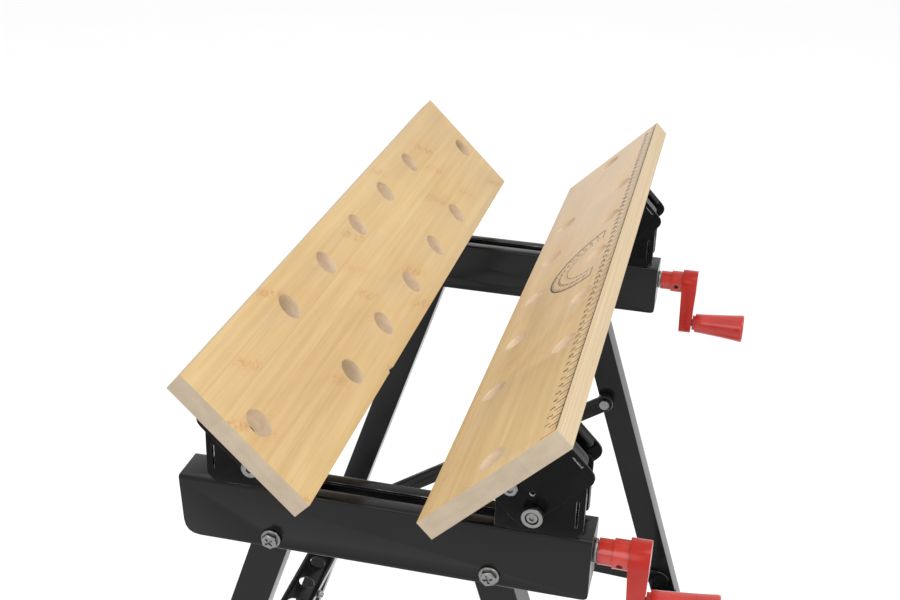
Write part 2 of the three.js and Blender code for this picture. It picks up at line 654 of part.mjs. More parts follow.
// Rubber cap on a leg's end, cut level with the floor.
function footSolid(angle) {
	const inner = LEG_SECTION / 2 + TOUCH_GAP;
	const outer = inner + FOOT_WALL;
	const top = -legLength + FOOT_OVERLAP;
	const below = -legLength - 2 * LEG_SECTION;
	const underground = block([-outer - 1, outer + 1], [-legPivotZ, legPivotZ], [below - legPivotZ, -legPivotZ])
		.rotate([-THREE.MathUtils.radToDeg(angle), 0, 0]);
	return block([-outer, outer], [-outer, outer], [below, top])
		.subtract(block([-inner, inner], [-inner, inner], [-legLength - TOUCH_GAP, top + 1]))
		.subtract(underground);
}

// Channel between two legs, open below, with a row of round holes in its top.
function crossMemberSolid(withScrewHoles) {
	const half = legInnerX - TOUCH_GAP;
	const wide = CROSS_WIDTH / 2;
	let cross = block([-half, half], [-wide, wide], [-CROSS_DOWN - CROSS_DEPTH, -CROSS_DOWN])
		.subtract(block([-half - 1, half + 1], [-wide + CROSS_SHEET, wide - CROSS_SHEET],
			[-CROSS_DOWN - CROSS_DEPTH - 1, -CROSS_DOWN - CROSS_SHEET]));
	for (let i = 0; i < CROSS_HOLES; i++) {
		const x = (i - (CROSS_HOLES - 1) / 2) * CROSS_HOLE_PITCH;
		cross = cross.subtract(rodZ(CROSS_HOLE_RADIUS, [-CROSS_DOWN - 3, -CROSS_DOWN + 1], x, 0, 20));
	}
	if (withScrewHoles) {
		for (const sign of Object.values(SIDES)) {
			cross = cross.subtract(rodY(CROSS_SCREW_RADIUS + HOLE_GAP, [-wide - 1, -wide + 3],
				sign * CROSS_SCREW_X, crossScrewZ, 12));
		}
	}
	return cross;
}

const crossScrewZ = -CROSS_DOWN - CROSS_DEPTH * 0.55;

// Small screw through the cross-member's front flange, with its nut outside.
function crossScrewSolid() {
	const face = -CROSS_WIDTH / 2 - TOUCH_GAP;
	const inside = -CROSS_WIDTH / 2 + CROSS_SHEET + TOUCH_GAP;
	return rodY(CROSS_SCREW_RADIUS, [face - 6, inside + 2], 0, 0, 12)
		.add(rodY(4.4, [face - 3.6, face], 0, 0, 6))
		.add(rodY(4.4, [inside, inside + 2.4], 0, 0, 12));
}

// Round head inside the link bar, spacer between bar and leg, shank into the leg's wall.
function linkPinSolid(sign) {
	return rodX(PIN_RADIUS, mirrored(sign, [linkInner - TOUCH_GAP, legInnerX + 10]), 0, 0)
		.add(rodX(PIN_HEAD_RADIUS, mirrored(sign, [linkInner - TOUCH_GAP - 4, linkInner - TOUCH_GAP]), 0, 0))
		.add(rodX(BAR_WIDTH / 2, mirrored(sign, [linkOuter + TOUCH_GAP, legInnerX - TOUCH_GAP]), 0, 0));
}

// Low head on the stay, shank into the back leg's wall.
function stayPinSolid(sign) {
	return rodX(PIN_RADIUS, mirrored(sign, [stayInner - TOUCH_GAP, legInnerX + 10]), 0, 0)
		.add(rodX(7, mirrored(sign, [stayInner - TOUCH_GAP - 1.8, stayInner - TOUCH_GAP]), 0, 0));
}

// Head and short shank at the lower end of the link bar.
function linkEndPinSolid(sign) {
	return rodX(PIN_RADIUS, mirrored(sign, [linkInner - TOUCH_GAP, linkOuter]), 0, 0)
		.add(rodX(PIN_HEAD_RADIUS, mirrored(sign, [linkInner - TOUCH_GAP - 4, linkInner - TOUCH_GAP]), 0, 0));
}

function legFrame(end) {
	const group = new THREE.Group();
	group.position.set(0, legPivotY[end], legPivotZ);
	group.rotation.x = legAngles[end];
	for (const [side, sign] of Object.entries(SIDES)) {
		const leg = new THREE.Group();
		leg.position.x = sign * railX;
		leg.add(part(`${end}_${side}_leg`, legSolid(sign, end), blackPaint));
		leg.add(part(`${end}_${side}_foot`, footSolid(legAngles[end]), blackRubber));
		group.add(leg);
		const pin = end === 'front'
			? part(`${side}_link_pin`, linkPinSolid(sign), zinc)
			: part(`${side}_stay_pin`, stayPinSolid(sign), zinc);
		pin.position.y = end === 'front' ? -LINK_PIN_FORWARD : 0;
		pin.position.z = end === 'front' ? -LINK_PIN_DOWN : -STAY_PIN_DOWN;
		group.add(pin);
		if (end === 'back') {
			const screw = part(`${side}_cross_member_screw`, crossScrewSolid(), zinc);
			screw.position.set(sign * CROSS_SCREW_X, 0, crossScrewZ);
			group.add(screw);
		}
	}
	group.add(part(`${end}_cross_member`, crossMemberSolid(end === 'back'), blackPaint));
	return group;
}

// ---- Link and stay bars between the leg frames ----------------------------------------

// A group whose +Y runs from one (y, z) point to another.
function barGroup(from, to) {
	const group = new THREE.Group();
	group.position.set(0, from.y, from.z);
	group.rotation.x = Math.atan2(to.z - from.z, to.y - from.y);
	return group;
}

function distance(from, to) {
	return Math.hypot(to.y - from.y, to.z - from.z);
}

function linkBarSolid(sign, length) {
	const x = mirrored(sign, [linkInner, linkOuter]);
	const hole = [x[0] - 1, x[1] + 1];
	return prismX(stadium(length, BAR_WIDTH / 2), x)
		.subtract(rodX(PIN_RADIUS + HOLE_GAP, hole, 0, 0))
		.subtract(rodX(PIN_RADIUS + HOLE_GAP, hole, length, 0));
}

// A bar that ends in a hook, with a slanted notch that opens downwards.
function stayBarSolid(sign, length) {
	const x = mirrored(sign, [stayInner, stayOuter]);
	const hole = [x[0] - 1, x[1] + 1];
	const half = BAR_WIDTH / 2;
	const lug = roundedPolygon([
		[length - 24, -half + 1], [length + 3, -half, 4], [length + 10, -half + 5, 4],
		[length + 10, HOOK_DEPTH, 4], [length - 13, HOOK_DEPTH, 4],
	]);
	const notch = stadium(30, PIN_RADIUS + HOLE_GAP);
	const notchPrism = prismX(notch, hole).rotate([90 + HOOK_SLANT, 0, 0]).translate([0, length, 0]);
	return prismX(stadium(length, half), x)
		.add(prismX(lug, x))
		.subtract(notchPrism)
		.subtract(rodX(PIN_RADIUS + HOLE_GAP, hole, 0, 0));
}

function linkGroup(side, sign) {
	const group = barGroup(linkPin, stayPin);
	const length = distance(linkPin, stayPin);
	group.add(part(`${side}_link_bar`, linkBarSolid(sign, length), blackPaint));
	const pin = part(`${side}_link_end_pin`, linkEndPinSolid(sign), zinc);
	pin.position.y = length;
	group.add(pin);
	return group;
}

function stayGroup(side, sign) {
	const group = barGroup(stayPin, stud);
	group.add(part(`${side}_stay_bar`, stayBarSolid(sign, distance(stayPin, stud)), blackPaint));
	return group;
}

// ---- The bench -------------------------------------------------------------------------

function sideGroup(side, sign) {
	const group = new THREE.Group();
	group.position.set(sign * railX, 0, RAIL_TOP);
	group.add(part(`${side}_rail`, railSolid(), blackPaint));
	for (const [end, y] of Object.entries(legPivotY)) {
		const bolt = part(`${end}_${side}_leg_bolt`, legBoltSolid(sign), zinc);
		bolt.position.set(0, y, -LEG_PIVOT_DROP);
		group.add(bolt);
	}
	const washer = part(`${side}_thrust_washer`, washerSolid(), zinc);
	washer.position.z = -SCREW_DROP;
	group.add(washer);
	const back = part(`back_${side}_carriage`, carriageSolid(), blackPaint);
	back.position.y = BACK_PIVOT_Y;
	const front = part(`front_${side}_carriage`, carriageSolid(), blackPaint);
	front.position.y = FRONT_PIVOT_Y;
	front.rotation.z = Math.PI;
	const nut = part(`${side}_travel_nut`, travelNutSolid(), zinc);
	nut.position.set(0, FRONT_PIVOT_Y, -SCREW_DROP);
	group.add(back, front, nut);
	return group;
}

const bench = new THREE.Group();
for (const [side, sign] of Object.entries(SIDES)) {
	bench.add(sideGroup(side, sign));
	bench.add(crankGroup(side, sign));
	bench.add(linkGroup(side, sign));
	bench.add(stayGroup(side, sign));
}
for (const end of ['front', 'back']) {
	bench.add(jawGroup(end));
	bench.add(legFrame(end));
}

export default bench;
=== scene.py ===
"""A folding clamping workbench: tilting bamboo jaws on black steel rails, over a folding stand."""

import json
from math import cos, pi, radians, sin

import bpy
from mathutils import Matrix, Vector


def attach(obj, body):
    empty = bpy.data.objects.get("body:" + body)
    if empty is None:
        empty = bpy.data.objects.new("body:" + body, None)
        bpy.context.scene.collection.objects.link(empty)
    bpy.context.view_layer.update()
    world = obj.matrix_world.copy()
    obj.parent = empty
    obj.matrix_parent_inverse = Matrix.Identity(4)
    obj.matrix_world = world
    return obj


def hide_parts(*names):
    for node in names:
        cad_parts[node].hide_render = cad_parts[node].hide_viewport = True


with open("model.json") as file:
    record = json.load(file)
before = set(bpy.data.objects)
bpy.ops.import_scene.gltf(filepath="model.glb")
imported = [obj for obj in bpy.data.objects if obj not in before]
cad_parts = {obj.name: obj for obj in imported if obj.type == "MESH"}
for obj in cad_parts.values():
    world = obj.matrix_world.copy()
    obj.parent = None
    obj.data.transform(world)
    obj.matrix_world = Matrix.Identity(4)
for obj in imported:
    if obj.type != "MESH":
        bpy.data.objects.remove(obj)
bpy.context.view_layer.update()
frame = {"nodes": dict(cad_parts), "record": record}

# Camera
#
# It stands at the left end of the bench, above the jaws, and looks down along them
# towards the far rail.
forward = Vector((0.88651, 0.19572, -0.41928))
level_right = forward.cross(Vector((0, 0, 1))).normalized()
level_up = level_right.cross(forward)
camera_roll = 0.0363
camera_right = level_right * cos(camera_roll) + level_up * sin(camera_roll)
camera_up = level_up * cos(camera_roll) - level_right * sin(camera_roll)
camera = bpy.data.objects.new("camera", bpy.data.cameras.new("camera"))
bpy.context.scene.collection.objects.link(camera)
camera.data.sensor_width = 36
camera.data.lens = 53.24
camera.data.clip_end = 50
camera_place = Vector((-0.9434, -0.1974, 1.1869))
camera.matrix_world = Matrix.Translation(camera_place) @ Matrix(
    (camera_right, camera_up, -forward)).transposed().to_4x4()
bpy.context.scene.camera = camera

# Rails
#
# Two channels folded from sheet steel, open below, with a slot along the top for the
# clamping nut. They are sprayed gloss black after folding, so every edge is rounded.


class Wire:
    """One output of a shader node, with arithmetic on it."""

    def __init__(self, tree, socket):
        self.tree = tree
        self.socket = socket

    def node(self, kind, inputs, out=0, **settings):
        made = self.tree.nodes.new("ShaderNode" + kind)
        for name, value in settings.items():
            setattr(made, name, value)
        for name, value in inputs.items():
            if isinstance(value, Wire):
                self.tree.links.new(value.socket, made.inputs[name])
            else:
                made.inputs[name].default_value = value
        return Wire(self.tree, made.outputs[out])

    def maths(self, operation, first, second=0.0):
        return self.node("Math", {0: first, 1: second}, operation=operation)

    def __add__(self, other):
        return self.maths("ADD", self, other)

    def __radd__(self, other):
        return self.maths("ADD", other, self)

    def __sub__(self, other):
        return self.maths("SUBTRACT", self, other)

    def __rsub__(self, other):
        return self.maths("SUBTRACT", other, self)

    def __mul__(self, other):
        return self.maths("MULTIPLY", self, other)

    def __rmul__(self, other):
        return self.maths("MULTIPLY", other, self)

    def __truediv__(self, other):
        return self.maths("DIVIDE", self, other)

    def __rtruediv__(self, other):
        return self.maths("DIVIDE", other, self)

    def __abs__(self):
        return self.maths("ABSOLUTE", self)

    def floor(self):
        return self.maths("FLOOR", self)

    def part(self, axis):
        return self.node("SeparateXYZ", {0: self}, out="XYZ".index(axis))

    def stretched(self, x, y, z):
        return self.node("VectorMath", {0: self, 1: (x, y, z)}, operation="MULTIPLY")

    def noise(self, scale, detail=2.0, roughness=0.5):
        return self.node("TexNoise", {
            "Vector": self, "Scale": scale, "Detail": detail, "Roughness": roughness})

    def spread(self, low, high, to_low=0.0, to_high=1.0):
        """This value, with low to high spread smoothly over to_low to to_high."""
        return self.node("MapRange", {"Value": self, 1: low, 2: high, 3: to_low, 4: to_high},
                         interpolation_type="SMOOTHSTEP")

    def tint(self, first, second):
        """The first colour where this is 0 and the second where it is 1."""
        return self.node("Mix", {0: self, 6: first, 7: second}, out=2, data_type="RGBA")

    def bump(self, depth, strength=1.0):
        return self.node("Bump", {
            "Height": self, "Distance": depth, "Strength": strength}, out="Normal")

    def into(self, shader, name):
        self.tree.links.new(self.socket, shader.inputs[name])


def new_finish(name):
    """A material, its shader, and the place on the piece that patterns are drawn on."""
    material = bpy.data.materials.new(name)
    material.use_nodes = True
    tree = material.node_tree
    place = Wire(tree, tree.nodes.new("ShaderNodeTexCoord").outputs["Object"])
    return material, tree.nodes["Principled BSDF"], place


def gloss_black(name, shine):
    """Sprayed paint: a faint orange peel, soft smears and a few grains of dust."""
    material, shader, place = new_finish(name)
    shader.inputs["Specular IOR Level"].default_value = shine
    smears = place.noise(16.0, 4.0, 0.6)
    dust = place.noise(1400.0, 1.0).spread(0.74, 0.8)
    (smears.spread(0.35, 0.7) * 0.09 + dust * 0.25 + 0.16).into(shader, "Roughness")
    grime = place.noise(5.0, 5.0, 0.65).spread(0.4, 0.75)
    (grime * 0.5 + dust * 0.5).tint(
        (0.0045, 0.0045, 0.0048, 1), (0.011, 0.0105, 0.0105, 1)).into(shader, "Base Color")
    peel = place.noise(520.0, 2.0) + 0.35 * place.noise(120.0, 1.0)
    peel.bump(0.00006, 0.55).into(shader, "Normal")
    return material


def rubbed_edge():
    """The paint on a fold or a sheared edge: shinier, with a painted highlight that lightens it towards
    grey metal in patches.
    """
    material, shader, place = new_finish("rubbed_edge")
    shader.inputs["Specular IOR Level"].default_value = 0.7
    worn = place.noise(38.0, 3.0, 0.6).spread(0.45, 0.68)
    # The light grey metal in the patches is a painted highlight along the edges.
    worn.tint((0.022, 0.022, 0.0225, 1), (0.5, 0.5, 0.51, 1)).into(shader, "Base Color")
    (worn * 0.12 + 0.18).into(shader, "Roughness")
    (worn * 0.5).into(shader, "Metallic")
    return material


black_paint = gloss_black("gloss_black_paint", 0.21)
# A copy of the black paint with far less shine, for the carriages and tilt brackets: painted shade, for
# the shade the jaw boards cast over them.
shaded_paint = gloss_black("shade_darkened_black_paint", 0.055)
edge_highlight_paint = rubbed_edge()
side_sign = {"left": -1, "right": 1}
body_of_node = {
    node: body for body, nodes in frame["record"]["behaviour"]["bodies"].items() for node in nodes}


def alone(*pieces):
    bpy.ops.object.select_all(action="DESELECT")
    for piece in pieces:
        piece.select_set(True)
    bpy.context.view_layer.objects.active = pieces[0]


def fit(piece, material, slot, *nodes):
    """Gives a finished piece its material, and puts it in the place of its CAD nodes."""
    if material:
        piece.data.materials.clear()
        piece.data.materials.append(material)
    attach(piece, body_of_node[nodes[0]])
    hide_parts(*nodes)


def merged_copy(node):
    source = frame["nodes"][node]
    piece = bpy.data.objects.new(node + "_finished", source.data.copy())
    bpy.context.scene.collection.objects.link(piece)
    alone(piece)
    bpy.ops.mesh.customdata_custom_splitnormals_clear()
    bpy.ops.object.mode_set(mode="EDIT")
    bpy.ops.mesh.select_all(action="SELECT")
    bpy.ops.mesh.remove_doubles(threshold=0.000002)
    bpy.ops.mesh.dissolve_limited(angle_limit=radians(1))
    bpy.ops.mesh.select_all(action="DESELECT")
    bpy.ops.object.mode_set(mode="OBJECT")
    return piece


def ease_edges(piece, width, segments=2, smooth=32):
    """Rounds every sharp edge a little, in the piece's last finish, and shades the rest smooth."""
    alone(piece)
    bevel = piece.modifiers.new("eased", "BEVEL")
    bevel.material = len(piece.data.materials) - 1
    bevel.width = width
    bevel.segments = segments
    bevel.limit_method = "ANGLE"
    bevel.angle_limit = radians(35)
    bpy.ops.object.modifier_apply(modifier="eased")
    bpy.ops.object.shade_smooth_by_angle(angle=radians(smooth))


def steel_sheet(node, width=0.0004, paint=black_paint):
    piece = merged_copy(node)
    piece.data.materials.clear()
    piece.data.materials.append(paint)
    # The rounded edges take the painted edge highlight, the piece's last finish.
    piece.data.materials.append(edge_highlight_paint)
    ease_edges(piece, width)
    fit(piece, None, "black_paint", node)


for side in side_sign:
    steel_sheet(f"{side}_rail", 0.0005)

# Carriages
#
# Folded U brackets that stand on the rails and hold the jaws' tilt pivots. The back ones
# are fixed and the front ones slide, each with a curved slot for its lock screw.
for end in ("back", "front"):
    for side in side_sign:
        steel_sheet(f"{end}_{side}_carriage", paint=shaded_paint)

# Leg bolts
#
# Zinc plated flange bolts with a six-sided head and a cross recess, through rail and leg,
# with a nut inside. The plating is bright, with a cloudy, slightly rolled surface.


def bright_zinc():
    material, shader, place = new_finish("bright_zinc")
    shader.inputs["Metallic"].default_value = 1.0
    clouds = place.noise(260.0, 4.0, 0.6)
    clouds.tint((0.15, 0.15, 0.152, 1), (0.3, 0.3, 0.295, 1)).into(shader, "Base Color")
    (clouds.spread(0.3, 0.7) * 0.16 + 0.24).into(shader, "Roughness")
    (place.noise(900.0, 2.0) + clouds).bump(0.00004, 0.5).into(shader, "Normal")
    return material


zinc = bright_zinc()


def turned(name, stations, sides=48):
    """A round form along Z, drawn out from a disc through (height, radius) stations."""
    height, radius = stations[0]
    bpy.ops.object.select_all(action="DESELECT")
    bpy.ops.mesh.primitive_circle_add(
        vertices=sides, radius=radius, fill_type="NGON", location=(0, 0, 0))
    piece = bpy.context.object
    piece.name = name
    bpy.ops.object.mode_set(mode="EDIT")
    bpy.ops.mesh.select_all(action="SELECT")
    bpy.ops.transform.translate(value=(0, 0, height))
    for next_height, next_radius in stations[1:]:
        bpy.ops.mesh.extrude_region_move(TRANSFORM_OT_translate={"value": (0, 0, next_height - height)})
        if next_radius != radius:
            ratio = next_radius / radius
            bpy.ops.transform.resize(value=(ratio, ratio, 1), center_override=(0, 0, next_height))
        height, radius = next_height, next_radius
    bpy.ops.mesh.select_all(action="SELECT")
    bpy.ops.mesh.normals_make_consistent(inside=False)
    bpy.ops.object.mode_set(mode="OBJECT")
    return piece


def block(name, size, place=(0, 0, 0)):
    bpy.ops.object.select_all(action="DESELECT")
    bpy.ops.mesh.primitive_cube_add(size=1, location=place, scale=size)
    piece = bpy.context.object
    piece.name = name
    bpy.ops.object.transform_apply(location=True, rotation=True, scale=True)
    return piece


def cut(piece, cutter, operation="DIFFERENCE"):
    """Cuts one form out of another, or joins the two, and clears the cutter away."""
    alone(piece)
    boolean = piece.modifiers.new("cut", "BOOLEAN")
    boolean.operation = operation
    boolean.solver = "EXACT"
    boolean.object = cutter
    bpy.ops.object.modifier_apply(modifier="cut")
    bpy.data.objects.remove(cutter)


def joined(*pieces):
    alone(*pieces)
    bpy.ops.object.join()
    return bpy.context.object


def set_down(piece, place):
    """Moves a form to its place, and leaves its object at the origin, unturned."""
    piece.matrix_world = place
    alone(piece)
    bpy.ops.object.transform_apply(location=True, rotation=True, scale=True)


def twin(piece, name):
    copy = bpy.data.objects.new(name, piece.data.copy())
    bpy.context.scene.collection.objects.link(copy)
    return copy


rail_x = 0.2255
rail_half = 0.0155
bolt_turn = {"front": radians(17), "back": radians(41)}
leg_pivot = {"front": Vector((0, -0.075, 0.6615)), "back": Vector((0, 0.075, 0.6615))}
outwards = {"left": Matrix.Rotation(radians(-90), 4, "Y"), "right": Matrix.Rotation(radians(90), 4, "Y")}

# The bolt stands along Z with its head up and the rail's outer face at height 0.
flange = turned("leg_bolt", [(0.0003, 0.007), (0.0011, 0.007), (0.0019, 0.0062)])
ease_edges(flange, 0.0002)
hex_head = turned("hex_head", [(0.001, 0.0058), (0.0046, 0.0058), (0.0052, 0.0047)], 6)
for across, along in ((0.0066, 0.0014), (0.0014, 0.0066)):
    cut(hex_head, block("recess", (across, along, 0.004), (0, 0, 0.0056)))
ease_edges(hex_head, 0.00025)
shank = turned("shank", [(-0.0395, 0.0032), (-0.0388, 0.0039), (0.0005, 0.0039)])
nut = turned("nut", [(-0.0373, 0.0062), (-0.0367, 0.0068), (-0.0319, 0.0068), (-0.0313, 0.0062)], 6)
leg_bolt = joined(flange, hex_head, shank, nut)
for side, sign in side_sign.items():
    for end in ("front", "back"):
        bolt = twin(leg_bolt, f"{end}_{side}_leg_bolt_finished")
        head = Matrix.Translation(leg_pivot[end] + Vector((sign * (rail_x + rail_half), 0, 0)))
        set_down(bolt, head @ outwards[side] @ Matrix.Rotation(bolt_turn[end], 4, "Z"))
        fit(bolt, zinc, "zinc", f"{end}_{side}_leg_bolt")
bpy.data.objects.remove(leg_bolt)

# Clamping screws
#
# A steel screw along the inside of each rail, held at the front by a collar and a loose
# thrust washer. Its nut reaches up through the slot and carries the front carriage.
screw_z = 0.6837
screw_radius = 0.005
thread_depth = 0.0007
forwards = Matrix.Rotation(radians(90), 4, "X")
screw_axis = {side: Matrix.Translation((sign * rail_x, 0, screw_z)) @ forwards
              for side, sign in side_sign.items()}


def thread_cut(start, end, pitch):
    """The stations of a thread that is cut as a row of plain ridges round the rod."""
    root = screw_radius - thread_depth
    stations = []
    for turn in range(round((end - start) / pitch)):
        height = start + turn * pitch
        stations += [(height, root), (height + pitch * 0.35, screw_radius),
                     (height + pitch * 0.55, screw_radius), (height + pitch * 0.9, root)]
    return stations


for side in side_sign:
    rod = turned(f"{side}_lead_screw_finished",
                 [(0.01, 0.004)] + thread_cut(0.012, 0.132, 0.004)
                 + [(0.1339, 0.0049), (0.134, 0.008), (0.1378, 0.008), (0.1379, screw_radius),
                    (0.171, screw_radius)], 32)
    set_down(rod, screw_axis[side])
    alone(rod)
    bpy.ops.object.shade_smooth_by_angle(angle=radians(30))
    fit(rod, zinc, "zinc", f"{side}_lead_screw")
    washer = turned(f"{side}_thrust_washer_finished", [(0.1403, 0.008), (0.1423, 0.008)])
    cut(washer, turned("bore", [(0.13, 0.0053), (0.15, 0.0053)]))
    ease_edges(washer, 0.0003)
    set_down(washer, screw_axis[side])
    fit(washer, zinc, "zinc", f"{side}_thrust_washer")
    nut_block = merged_copy(f"{side}_travel_nut")
    ease_edges(nut_block, 0.0005)
    fit(nut_block, zinc, "zinc", f"{side}_travel_nut")

# Cranks
#
# Red plastic cranks, moulded in one piece: a hub in three steps that is held on the screw
# by a small set screw, and a flat arm that narrows towards the grip.


def moulded_red(name, shine, deep, bright):
    """Glossy plastic with the soft unevenness of a moulding and fine scuffs."""
    material, shader, place = new_finish(name)
    shader.inputs["Specular IOR Level"].default_value = shine
    flow = place.noise(35.0, 3.0, 0.5)
    flow.spread(0.3, 0.7).tint(deep, bright).into(shader, "Base Color")
    scuffs = place.stretched(1.0, 0.25, 1.0).noise(700.0, 3.0, 0.7).spread(0.58, 0.75)
    (flow * 0.1 + scuffs * 0.12 + 0.14).into(shader, "Roughness")
    (place.noise(90.0, 2.0) + 0.2 * place.noise(900.0, 1.0)).bump(0.00012, 0.45).into(shader, "Normal")
    return material


red_plastic = moulded_red("moulded_red_plastic", 0.6, (0.4, 0.018, 0.013, 1), (0.48, 0.03, 0.021, 1))
# The arm gets a darker, less shiny copy of the same red plastic: painted shade, since its broad face
# takes less light than the hub and the grips.
shade_darkened_arm_plastic = moulded_red("crank_arm_shaded_plastic", 0.25, (0.33, 0.01, 0.0055, 1), (0.4, 0.016, 0.009, 1))
crank_offset = 0.0405
crank_angle = {"left": radians(11), "right": 0.0}
crank_place = {side: screw_axis[side] @ Matrix.Rotation(crank_angle[side], 4, "Z") for side in side_sign}
axle_radius = 0.0036

# The crank is made with its axis along Z, the rail at height 0 and the arm towards -Y.
hub = turned("crank", [(0.1429, 0.0086), (0.1526, 0.0087), (0.1527, 0.0099), (0.1629, 0.01),
                       (0.1630, 0.0119), (0.1765, 0.012)], 64)
set_screw_height = 0.15775
set_screw_turn = Matrix.Rotation(radians(11), 4, "Z")
drill = turned("drill", [(0.0, 0.0022), (0.03, 0.0022)], 32)
set_down(drill, Matrix.Translation((0, 0, set_screw_height)) @ set_screw_turn @ outwards["left"])
cut(hub, drill)
ease_edges(hub, 0.0006, 3)


def ring(radius, x, y, z):
    bpy.ops.object.select_all(action="DESELECT")
    bpy.ops.mesh.primitive_circle_add(vertices=64, radius=radius, location=(x, y, z))
    bpy.ops.object.transform_apply(location=True, rotation=True, scale=True)
    return bpy.context.object


arm = joined(ring(0.012, 0, 0, 0.163), ring(0.012, 0, 0, 0.1766),
             ring(0.01, 0, -crank_offset, 0.1643), ring(0.01, 0, -crank_offset, 0.1753))
alone(arm)
bpy.ops.object.mode_set(mode="EDIT")
bpy.ops.mesh.select_all(action="SELECT")
bpy.ops.mesh.convex_hull()
bpy.ops.mesh.dissolve_limited(angle_limit=radians(1))
bpy.ops.mesh.normals_make_consistent(inside=False)
bpy.ops.object.mode_set(mode="OBJECT")
ease_edges(arm, 0.0011, 4)
axle = turned("axle", [(0.175, axle_radius), (0.216, axle_radius)], 32)
set_down(axle, Matrix.Translation((0, -crank_offset, 0)))
hub.data.materials.append(red_plastic)
arm.data.materials.append(shade_darkened_arm_plastic)
axle.data.materials.append(red_plastic)
crank = joined(hub, arm, axle)

for side in side_sign:
    piece = twin(crank, f"{side}_crank_arm_finished")
    set_down(piece, crank_place[side])
    fit(piece, None, "red_plastic", f"{side}_crank_arm")
    steel_sheet(f"{side}_set_screw", 0.0003)
bpy.data.objects.remove(crank)

# Crank grips
#
# Cones of the same red plastic that turn freely on the arm's axle, with a narrow neck
# against the arm and a flat, slightly rounded end.
grip = turned("crank_grip", [
    (0.1763, 0.0068), (0.1766, 0.007), (0.1788, 0.007), (0.1789, 0.0085), (0.1795, 0.0089),
    (0.185, 0.0092), (0.195, 0.01), (0.205, 0.0109), (0.215, 0.0119), (0.2205, 0.0126),
    (0.222, 0.0128), (0.2232, 0.0126), (0.2238, 0.0119), (0.2238, 0.0098), (0.2232, 0.0092),
    (0.2232, 0.002)], 64)
for side in side_sign:
    piece = twin(grip, f"{side}_crank_grip_finished")
    set_down(piece, crank_place[side] @ Matrix.Translation((0, -crank_offset, 0)))
    alone(piece)
    bpy.ops.object.shade_smooth_by_angle(angle=radians(40))
    fit(piece, red_plastic, "red_plastic", f"{side}_crank_grip")
bpy.data.objects.remove(grip)

# Tilt brackets
#
# Folded U brackets screwed under the jaws. Their cheeks straddle the carriages, and a flange
# folded in at the outer edge stiffens each one. The walls of the short slit and the small
# hole in each cheek are painted near-white: painted light, for the light that shows through
# them.
jaw_tilt = radians(44)
jaw_place = {
    "back": Matrix.Translation((0, 0.087, 0.716)) @ Matrix.Rotation(jaw_tilt, 4, "X"),
    "front": Matrix.Translation((0, -0.1015, 0.716)) @ Matrix.Rotation(-jaw_tilt, 4, "X")}


def bare_steel():
    material, shader, place = new_finish("bare_steel")
    grain = place.noise(800.0, 3.0, 0.6)
    # The pale colour is painted light, for the light that shows through the slit and the hole.
    grain.tint((0.7, 0.7, 0.7, 1), (0.9, 0.9, 0.9, 1)).into(shader, "Base Color")
    (grain * 0.2 + 0.3).into(shader, "Roughness")
    shader.inputs["Metallic"].default_value = 0.35
    return material


painted_light_walls = bare_steel()
slit_out = (0.0461, 0.0484)
slit_up = (0.0076, 0.0174)
small_hole = Vector((0.009, 0.0115))
small_hole_reach = 0.0023
for end in ("back", "front"):
    for side in side_sign:
        steel_sheet(f"{end}_{side}_tilt_bracket", paint=shaded_paint)
        bracket = bpy.data.objects[f"{end}_{side}_tilt_bracket_finished"]
        # The walls of the slit and the hole get the painted light.
        bracket.data.materials.append(painted_light_walls)
        for polygon in bracket.data.polygons:
            spot = jaw_place[end].inverted() @ polygon.center
            out, up = abs(spot.y), spot.z
            in_slit = slit_out[0] <= out <= slit_out[1] and slit_up[0] <= up <= slit_up[1]
            in_hole = (Vector((out, up)) - small_hole).length < small_hole_reach
            if abs(polygon.normal.x) < 0.95 and (in_slit or in_hole):
                polygon.material_index = 2

# Pivot and lock screws
#
# Zinc plated button screws with a six-sided socket. The front pivots have a thick turned
# collar, bored out so that the screw's small head lies inside it.
cheek = 0.018
lock_height = 0.0225


def button_screw(name, face, radius, thickness, socket):
    """A socket screw along Z, with the face under its head at the height given."""
    head = turned(name, [(face, radius), (face + thickness * 0.55, radius),
                         (face + thickness * 0.85, radius * 0.88), (face + thickness, radius * 0.7)])
    cut(head, turned("socket", [(face + thickness - 0.0016, socket), (face + 0.01, socket)], 6))
    ease_edges(head, 0.00018)
    shank = turned("shank", [(-0.0242, 0.0026), (-0.0238, 0.003), (face + 0.0004, 0.003)], 32)
    nut = turned("nut", [(-0.0228, 0.0052), (-0.0223, 0.0057), (-0.0188, 0.0057), (-0.0183, 0.0052)], 6)
    return joined(head, shank, nut)


on_cheek = cheek + 0.0003
lock_screw = button_screw("lock_screw", on_cheek, 0.0052, 0.0024, 0.0024)
back_screw = button_screw("back_screw", on_cheek, 0.0063, 0.0024, 0.0024)
pivot_screw = button_screw("pivot_screw", cheek + 0.004, 0.0041, 0.0022, 0.0018)
collar = turned("pivot_collar", [
    (on_cheek, 0.0067), (cheek + 0.0008, 0.007), (cheek + 0.0058, 0.007), (cheek + 0.0063, 0.0067)], 64)
cut(collar, turned("recess", [(cheek + 0.0037, 0.0044), (cheek + 0.01, 0.0044)], 64))
cut(collar, turned("bore", [(cheek - 0.01, 0.0033), (cheek + 0.01, 0.0033)], 32))
ease_edges(collar, 0.0003, 3)

